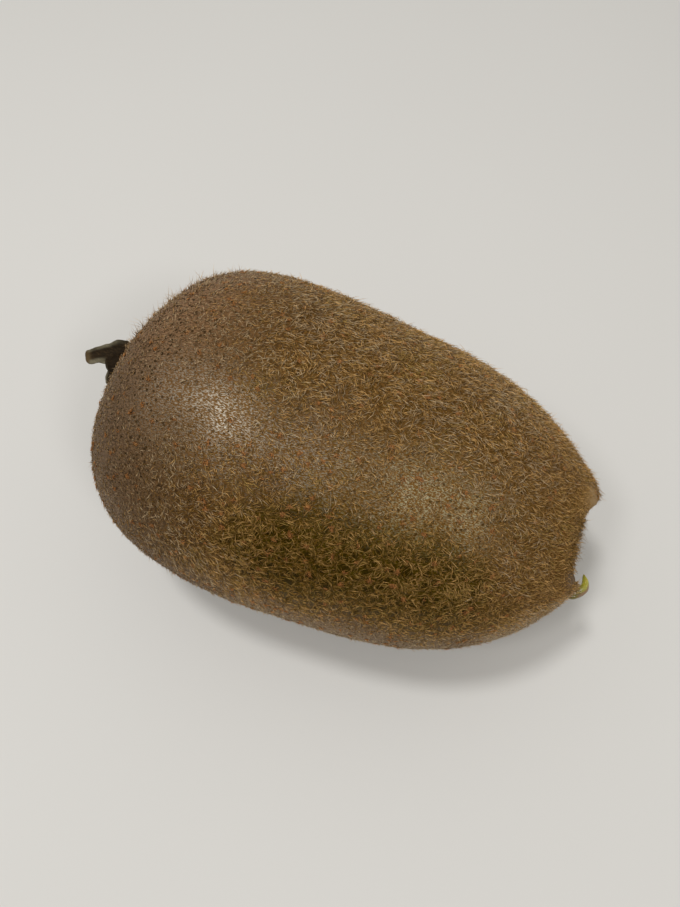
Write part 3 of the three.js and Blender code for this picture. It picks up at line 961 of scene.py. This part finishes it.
def calyx_finish(colours):
    """Dark sepals whose backs, edges and tips have dried paler."""
    f = Finish("kiwi_calyx")
    at = f.place()
    back = f.attribute("back")
    edge = f.attribute("edge")
    grain = f.noise(at * (1.0, 2.2, 2.2), 1.3, 4.0, 0.6)
    blotch = f.noise(at, 0.55, 3.0)
    reach = f.attribute("reach")
    dry = edge.ramp(0.55, 0.9) * f.attribute("pale") * reach.ramp(0.95, 0.85)
    dry = f.math("MAXIMUM", dry, back * 0.75)
    wide_rim = (f.attribute("side") + (blotch - 0.5) * 0.4).ramp(0.25, 0.7)
    wide_rim = wide_rim * reach.ramp(0.45, 0.7) * reach.ramp(0.94, 0.84)
    dry = f.math("MAXIMUM", dry, wide_rim) * blotch.ramp(0.25, 0.6, 0.45, 1.0)
    inner = f.mix(grain.ramp(0.45, 0.8), colours.calyx_dark, colours.calyx_brown)
    inner = f.mix(reach.ramp(0.78, 0.92) * 0.85, inner, colours.calyx_tip)
    grey = f.mix(grain, colours.calyx_grey * 0.6, colours.calyx_grey)
    colour = f.mix(dry, inner, grey)
    return f.end(
        Base_Color=colour,
        Roughness=0.62 + 0.3 * grain,
        Normal=f.bump(grain + blotch * 0.5, 0.8, 0.3 * MM),
        Specular_IOR_Level=0.15,
    )


def shred_finish(colours):
    """Moist green flesh, dark at its root, bruised along the outer side and pale at the tip."""
    f = Finish("kiwi_shred")
    at = f.place()
    reach = f.attribute("reach")
    side = f.attribute("side")
    cloud = f.noise(at, 1.1, 3.0)
    fibres = f.noise(at * (1.0, 3.0, 3.0), 1.6, 3.0)
    fresh = f.mix(fibres.ramp(0.3, 0.7), colours.shred_dark, colours.shred_pale)
    root = f.mix(fibres.ramp(0.3, 0.7), colours.shred_root_dark, colours.shred_root_pale)
    flesh = f.mix((reach + (cloud - 0.5) * 0.3).ramp(0.45, 0.75), root, fresh)
    outer = ((cloud - 0.5) * 0.8 - side).ramp(0.0, 0.5)
    bruise = outer * reach.ramp(0.35, 0.5) * reach.ramp(0.85, 0.7)
    colour = f.mix(bruise * 0.85, flesh, colours.shred_bruise)
    return f.end(
        Base_Color=colour,
        Roughness=0.2 + 0.25 * cloud,
        Normal=f.bump(fibres + cloud, 0.4, 0.3 * MM),
        Subsurface_Weight=0.3,
        Subsurface_Scale=1.0 * MM,
        Coat_Weight=0.3,
    )


def floor_finish(colours):
    """A pale, even table top."""
    f = Finish("table_top")
    at = f.place()
    cloud = f.noise(at, 0.01, 2.0)
    colour = f.mix(cloud.ramp(0.2, 0.8), colours.floor * 0.985, colours.floor)
    return f.end(Base_Color=colour, Roughness=0.75, Specular_IOR_Level=0.2)


# --- Strips of sepal and flesh ------------------------------------------------------------------


def smooth_route(points, shares):
    """Points and directions on a smooth curve through a few points, at shares of its spans."""
    points = np.array(points, dtype=float)
    padded = np.vstack([2 * points[0] - points[1], points, 2 * points[-1] - points[-2]])
    places, ways = [], []
    spans = len(points) - 1
    for share in shares:
        span = min(int(share * spans), spans - 1)
        t = share * spans - span
        p0, p1, p2, p3 = padded[span : span + 4]
        d0, d1, d2 = (math.sqrt(math.dist(a, b)) for a, b in ((p0, p1), (p1, p2), (p2, p3)))
        m1 = ((p1 - p0) / d0 - (p2 - p0) / (d0 + d1) + (p2 - p1) / d1) * d1
        m2 = ((p2 - p1) / d1 - (p3 - p1) / (d1 + d2) + (p3 - p2) / d2) * d1
        square = -3 * p1 + 3 * p2 - 2 * m1 - m2
        cube = 2 * p1 - 2 * p2 + m1 + m2
        places.append(p1 + m1 * t + square * t**2 + cube * t**3)
        ways.append(m1 + 2 * square * t + 3 * cube * t**2)
    ways = np.array(ways)
    return np.array(places), ways / np.linalg.norm(ways, axis=1)[:, None]


class Shell:
    """Gathers closed bodies of rings into one mesh, with a few numbers for each point."""

    def __init__(self, *attributes):
        self.points = []
        self.faces = []
        self.numbers = {name: [] for name in attributes}

    def add_point(self, point, **numbers):
        self.points.append(tuple(point))
        for name, values in self.numbers.items():
            values.append(numbers.get(name, 0.0))
        return len(self.points) - 1

    def close(self, start, rings, end):
        """Skins over rings of point indices, from one end point to the other."""
        sides = len(rings[0])
        for side in range(sides):
            after = (side + 1) % sides
            self.faces.append((start, rings[0][after], rings[0][side]))
            self.faces.append((end, rings[-1][side], rings[-1][after]))
            for ring, above in zip(rings, rings[1:]):
                self.faces.append((ring[side], ring[after], above[after], above[side]))

    def mesh(self, name, placing, material):
        mesh = bpy.data.meshes.new(name)
        points = [placing @ Vector(point) for point in self.points]
        mesh.from_pydata(points, [], self.faces)
        for attribute, values in self.numbers.items():
            mesh.attributes.new(attribute, "FLOAT", "POINT").data.foreach_set("value", values)
        mesh.polygons.foreach_set("use_smooth", [True] * len(mesh.polygons))
        mesh.materials.append(material)
        if mesh.validate():
            raise RuntimeError(f"{name} had faces that don't hold together")
        return mesh


def crumple(point, size, seed):
    """A slow, uneven push of up to about 1, for a place in millimetres."""
    return noise.noise(Vector(point) / size + Vector((seed * 7.3, seed * 3.1, 0.0)))


def add_strip(shell, origin, route, width, facing, curl, thickness, rough, seed, pale_from=0.2):
    """A thin strip along a route, in millimetres, cupped towards `facing`, with ragged edges."""
    origin = np.array(origin)
    shares = np.linspace(0.0, 1.0, STRIP_STATIONS)
    places, ways = smooth_route(route, shares)
    widths = np.interp(shares, np.linspace(0.0, 1.0, len(width)), width)
    face_way = np.array(facing)
    rings = []
    for share, place, ahead, full_width in zip(shares, places, ways, widths):
        side_way = np.cross(face_way, ahead)
        side_way /= np.linalg.norm(side_way)
        up_way = np.cross(ahead, side_way)
        narrowed = math.sqrt(1.0 - 0.9 * max(0.0, (share - TIP_START) / (1.0 - TIP_START)) ** 2)
        half_width = full_width / 2 * narrowed
        ring = []
        for corner in range(STRIP_SIDES):
            turn = 2 * math.pi * corner / STRIP_SIDES
            across = math.cos(turn)
            ragged = 1 + rough * crumple((share * 9, math.copysign(4, across), seed), 1.6, seed)
            arc = curl * across * (0.6 + 0.4 * share)
            spread = half_width * ragged / max(math.sin(curl), 0.2)
            vein = 0.10 * math.cos(across * 9.5) * (1 - abs(across)) * (1 - 0.6 * share)
            thick = thickness / 2 * narrowed * math.sin(turn) * (1 + vein * 2)
            sideways = spread * math.sin(arc) - thick * math.sin(arc)
            upwards = spread * (1 - math.cos(arc)) + thick * math.cos(arc)
            point = place + side_way * sideways + up_way * upwards
            fold = crumple(point, 1.7, seed) * 0.34 + crumple(point, 0.7, seed) * 0.12
            point = point + up_way * fold * rough * 2.0 * min(1.0, share * 4)
            index = shell.add_point(
                origin + point * MM,
                edge=abs(across),
                side=across,
                back=max(0.0, -math.sin(turn)),
                reach=share,
                pale=min(max((share - pale_from) / 0.2, 0.0), 1.0),
            )
            ring.append(index)
        rings.append(ring)
    rounding = thickness / 6
    start = shell.add_point(origin + (places[0] - ways[0] * rounding) * MM, edge=0.5)
    end = shell.add_point(origin + (places[-1] + ways[-1] * rounding) * MM, edge=1.0, reach=1.0)
    shell.close(start, rings, end)


def add_collar(shell, origin, turn):
    """The woody ring that the sepals grow from, with a ragged mouth."""
    fine = []
    for (r0, h0), (r1, h1) in zip(COLLAR_PROFILE, COLLAR_PROFILE[1:]):
        for step in range(COLLAR_STEPS):
            share = step / COLLAR_STEPS
            fine.append((r0 + (r1 - r0) * share, h0 + (h1 - h0) * share))
    fine.append(COLLAR_PROFILE[-1])
    spin = Matrix.Rotation(turn, 3, "Z")
    base = spin @ Vector((COLLAR_ROOT, 0.0, 0.0))

    def placed(radius, height, angle):
        local = Vector((-height, radius * math.sin(angle), radius * math.cos(angle))) * MM
        return Vector(origin) + base + spin @ local

    rings = []
    for radius, height in fine:
        ring = []
        for side in range(COLLAR_SIDES):
            angle = 2 * math.pi * side / COLLAR_SIDES
            round_x, round_y = math.cos(angle), math.sin(angle)
            ridge = 0.10 * math.cos(angle * 13)
            ridge += 0.35 * crumple((round_x * 3, round_y * 3, height), 0.8, 5)
            top = height * (1 + 0.12 * crumple((round_x * 4, round_y * 4, 0), 1.1, 9))
            point = placed(radius + ridge * min(1, height), top, angle)
            ring.append(shell.add_point(point, edge=0.4, back=0.55))
        rings.append(ring)
    start = shell.add_point(placed(0.0, 0.0, 0.0))
    end = shell.add_point(placed(0.0, COLLAR_MOUTH, 0.0), edge=0.2)
    shell.close(start, rings, end)


# --- Operators ----------------------------------------------------------------------------------


class KIWI_OT_stage(bpy.types.Operator):
    """Lay the floor, hang the lamps and set the camera"""

    bl_idname = "kiwi.stage"
    bl_label = "Stage"

    def execute(self, context):
        settings = context.scene.kiwi_stage
        self.add_floor(context)
        for name, (place, size, power, share) in LAMPS.items():
            self.add_lamp(name, place, size, getattr(settings, power) * share)
        self.add_room_light(context, settings.room_light)
        self.add_camera(context, settings.lens)
        context.scene.view_settings.view_transform = "Standard"
        return {"FINISHED"}

    def add_floor(self, context):
        turns = [(-1, -1), (1, -1), (1, 1), (-1, 1)]
        corners = [(x * FLOOR_REACH, y * FLOOR_REACH, -FLOOR_GAP) for x, y in turns]
        mesh = bpy.data.meshes.new("floor")
        mesh.from_pydata(corners, [], [(0, 1, 2, 3)])
        mesh.materials.append(floor_finish(context.scene.kiwi_colours))
        floor = bpy.data.objects.new("floor", mesh)
        context.collection.objects.link(floor)

    def add_lamp(self, name, place, size, power):
        light = bpy.data.lights.new(name, "AREA")
        light.shape = "DISK"
        light.size = size
        light.energy = power
        lamp = bpy.data.objects.new(name, light)
        lamp.location = place
        lamp.rotation_euler = (Vector(LAMPS_FACE) - Vector(place)).to_track_quat("-Z", "Y").to_euler()
        bpy.context.collection.objects.link(lamp)

    def add_room_light(self, context, strength):
        world = bpy.data.worlds.new("room")
        world.use_nodes = True
        sky = Nodes(world.node_tree)
        way = sky.make("ShaderNodeTexCoord", output="Generated")
        glow = way.along((-0.1, 0.5, 0.86)).ramp(-0.3, 0.9, 0.15, 1.4) * strength
        light = sky.make("ShaderNodeBackground", sockets={"Color": (1.0, 0.975, 0.93), "Strength": glow})
        sky.make("ShaderNodeOutputWorld", sockets={"Surface": light})
        context.scene.world = world

    def add_camera(self, context, lens):
        data = bpy.data.cameras.new("camera")
        data.lens = lens
        data.sensor_width = 36.0
        data.clip_start = 0.005
        camera = bpy.data.objects.new("camera", data)
        right = Vector(CAMERA_RIGHT)
        look = Vector(CAMERA_LOOK).normalized()
        up = right.cross(look).normalized()
        right = look.cross(up)
        turn = Matrix((right, up, -look)).transposed()
        camera.matrix_world = Matrix.Translation(Vector(CAMERA_PLACE) * MM) @ turn.to_4x4()
        context.collection.objects.link(camera)
        context.scene.camera = camera


class KIWI_OT_fruit(bpy.types.Operator):
    """Make the fruit's body with its skin and its torn hollow"""

    bl_idname = "kiwi.fruit"
    bl_label = "Fruit"

    def execute(self, context):
        shape = context.scene.kiwi_shape
        colours = context.scene.kiwi_colours
        finishes = {"Skin": skin_finish(colours), "Flesh": flesh_finish(colours)}
        mesh = grow(body_tree(), body_inputs(shape, **finishes))
        mesh.transform(laid_down(shape))
        press_flat(mesh)
        add_piece("kiwi_body", mesh, stands_for="fruit")
        return {"FINISHED"}


class KIWI_OT_hairs(bpy.types.Operator):
    """Grow the coats of hair on the fruit's skin"""

    bl_idname = "kiwi.hairs"
    bl_label = "Hairs"

    def execute(self, context):
        colours = context.scene.kiwi_colours
        shape = context.scene.kiwi_shape
        body = bpy.data.objects["kiwi_body"]
        area = sum(face.area for face in body.data.polygons) / (MM * MM)
        tree = hair_tree()
        pole = laid_down(shape) @ Vector((-shape.length / 2 + DIMPLE_DEPTH, shape.bend, 0.0))
        plain_families = [
            (colours.gold_dark, colours.gold_pale),
            (colours.warm_dark, colours.warm_pale),
            (colours.grey_dark, colours.grey_pale),
        ]
        for order, (name, row) in enumerate(COATS.items()):
            coat = dict(zip(COAT_COLUMNS, row))
            rusty = name == "hairs_rust"
            families = [(colours.rust_dark, colours.rust_pale)] * FAMILIES if rusty else plain_families
            inputs = {
                "Density": coat["count"] / area,
                "Hair Length": coat["length"] * MM,
                "Thickness": coat["thickness"] * MM,
                "Rise": coat["rise"],
                "Clump Size": TUFT_CLUMP if rusty else CLUMP,
                "Clumping": 1.2,
                "Tuft Cover": 1.0 if rusty else 0.0,
                "Lift": TUFT_LIFT if rusty else 0.0,
                "Shade": coat["shade"],
                "Bends": coat["bends"],
                "Calyx": pole,
                "Seed": 11 + order * 17,
                "Material": hair_finish("kiwi_" + name, families),
            }
            mesh = grow(tree, inputs, surface=body.data.copy())
            for attribute in ("hair_up", "hair_side", "hair_tone", "hair_bend"):
                if attribute in mesh.attributes:
                    mesh.attributes.remove(mesh.attributes[attribute])
            triangles = sum(len(face.vertices) - 2 for face in mesh.polygons)
            if triangles > MOST_TRIANGLES:
                raise RuntimeError(f"{name} has {triangles} triangles")
            add_piece(name, mesh)
        return {"FINISHED"}


class KIWI_OT_calyx(bpy.types.Operator):
    """Make the dried calyx at the stem end"""

    bl_idname = "kiwi.calyx"
    bl_label = "Calyx"

    def execute(self, context):
        shape = context.scene.kiwi_shape
        half = shape.length / 2
        pole = (-half, shape.bend, 0.0)
        shell = Shell("edge", "side", "back", "reach", "pale")
        add_collar(shell, pole, math.atan(-2 * shape.bend / half))
        for seed, sepal in enumerate(SEPALS):
            add_strip(shell, pole, **sepal, thickness=0.62, rough=0.22, seed=seed + 1)
        mesh = shell.mesh("kiwi_calyx", laid_down(shape), calyx_finish(context.scene.kiwi_colours))
        add_piece("kiwi_calyx", mesh, stands_for="dry_calyx")
        return {"FINISHED"}


class KIWI_OT_shred(bpy.types.Operator):
    """Make the shred of flesh at the torn end"""

    bl_idname = "kiwi.shred"
    bl_label = "Shred"

    def execute(self, context):
        shape = context.scene.kiwi_shape
        shell = Shell("edge", "side", "back", "reach")
        strip = {"route": SHRED_ROUTE, "width": SHRED_WIDTH, "facing": CUPPED, "curl": 0.35}
        add_strip(shell, (0.0, 0.0, 0.0), **strip, thickness=1.1, rough=0.08, seed=3)
        mesh = shell.mesh("kiwi_shred", laid_down(shape), shred_finish(context.scene.kiwi_colours))
        add_piece("kiwi_shred", mesh, stands_for="flesh_shred")
        return {"FINISHED"}


class KIWI_PT_panel(bpy.types.Panel):
    """The fruit's pieces and settings"""

    bl_label = "Kiwi fruit"
    bl_space_type = "VIEW_3D"
    bl_region_type = "UI"
    bl_category = "Kiwi"

    def draw(self, context):
        for operator in OPERATORS:
            self.layout.operator(operator.bl_idname)
        for group in (context.scene.kiwi_shape, context.scene.kiwi_colours, context.scene.kiwi_stage):
            column = self.layout.column()
            for name in group.__annotations__:
                column.prop(group, name)


OPERATORS = (KIWI_OT_stage, KIWI_OT_fruit, KIWI_OT_hairs, KIWI_OT_calyx, KIWI_OT_shred)
CLASSES = (KiwiShape, KiwiColours, KiwiStage, *OPERATORS, KIWI_PT_panel)


def register():
    for cls in CLASSES:
        bpy.utils.register_class(cls)
    bpy.types.Scene.kiwi_shape = PointerProperty(type=KiwiShape)
    bpy.types.Scene.kiwi_colours = PointerProperty(type=KiwiColours)
    bpy.types.Scene.kiwi_stage = PointerProperty(type=KiwiStage)


def unregister():
    del bpy.types.Scene.kiwi_stage
    del bpy.types.Scene.kiwi_colours
    del bpy.types.Scene.kiwi_shape
    for cls in reversed(CLASSES):
        bpy.utils.unregister_class(cls)


def main():
    register()
    bpy.ops.kiwi.stage()
    bpy.ops.kiwi.fruit()
    bpy.ops.kiwi.hairs()
    bpy.ops.kiwi.calyx()
    bpy.ops.kiwi.shred()


if __name__ == "__main__":
    main()
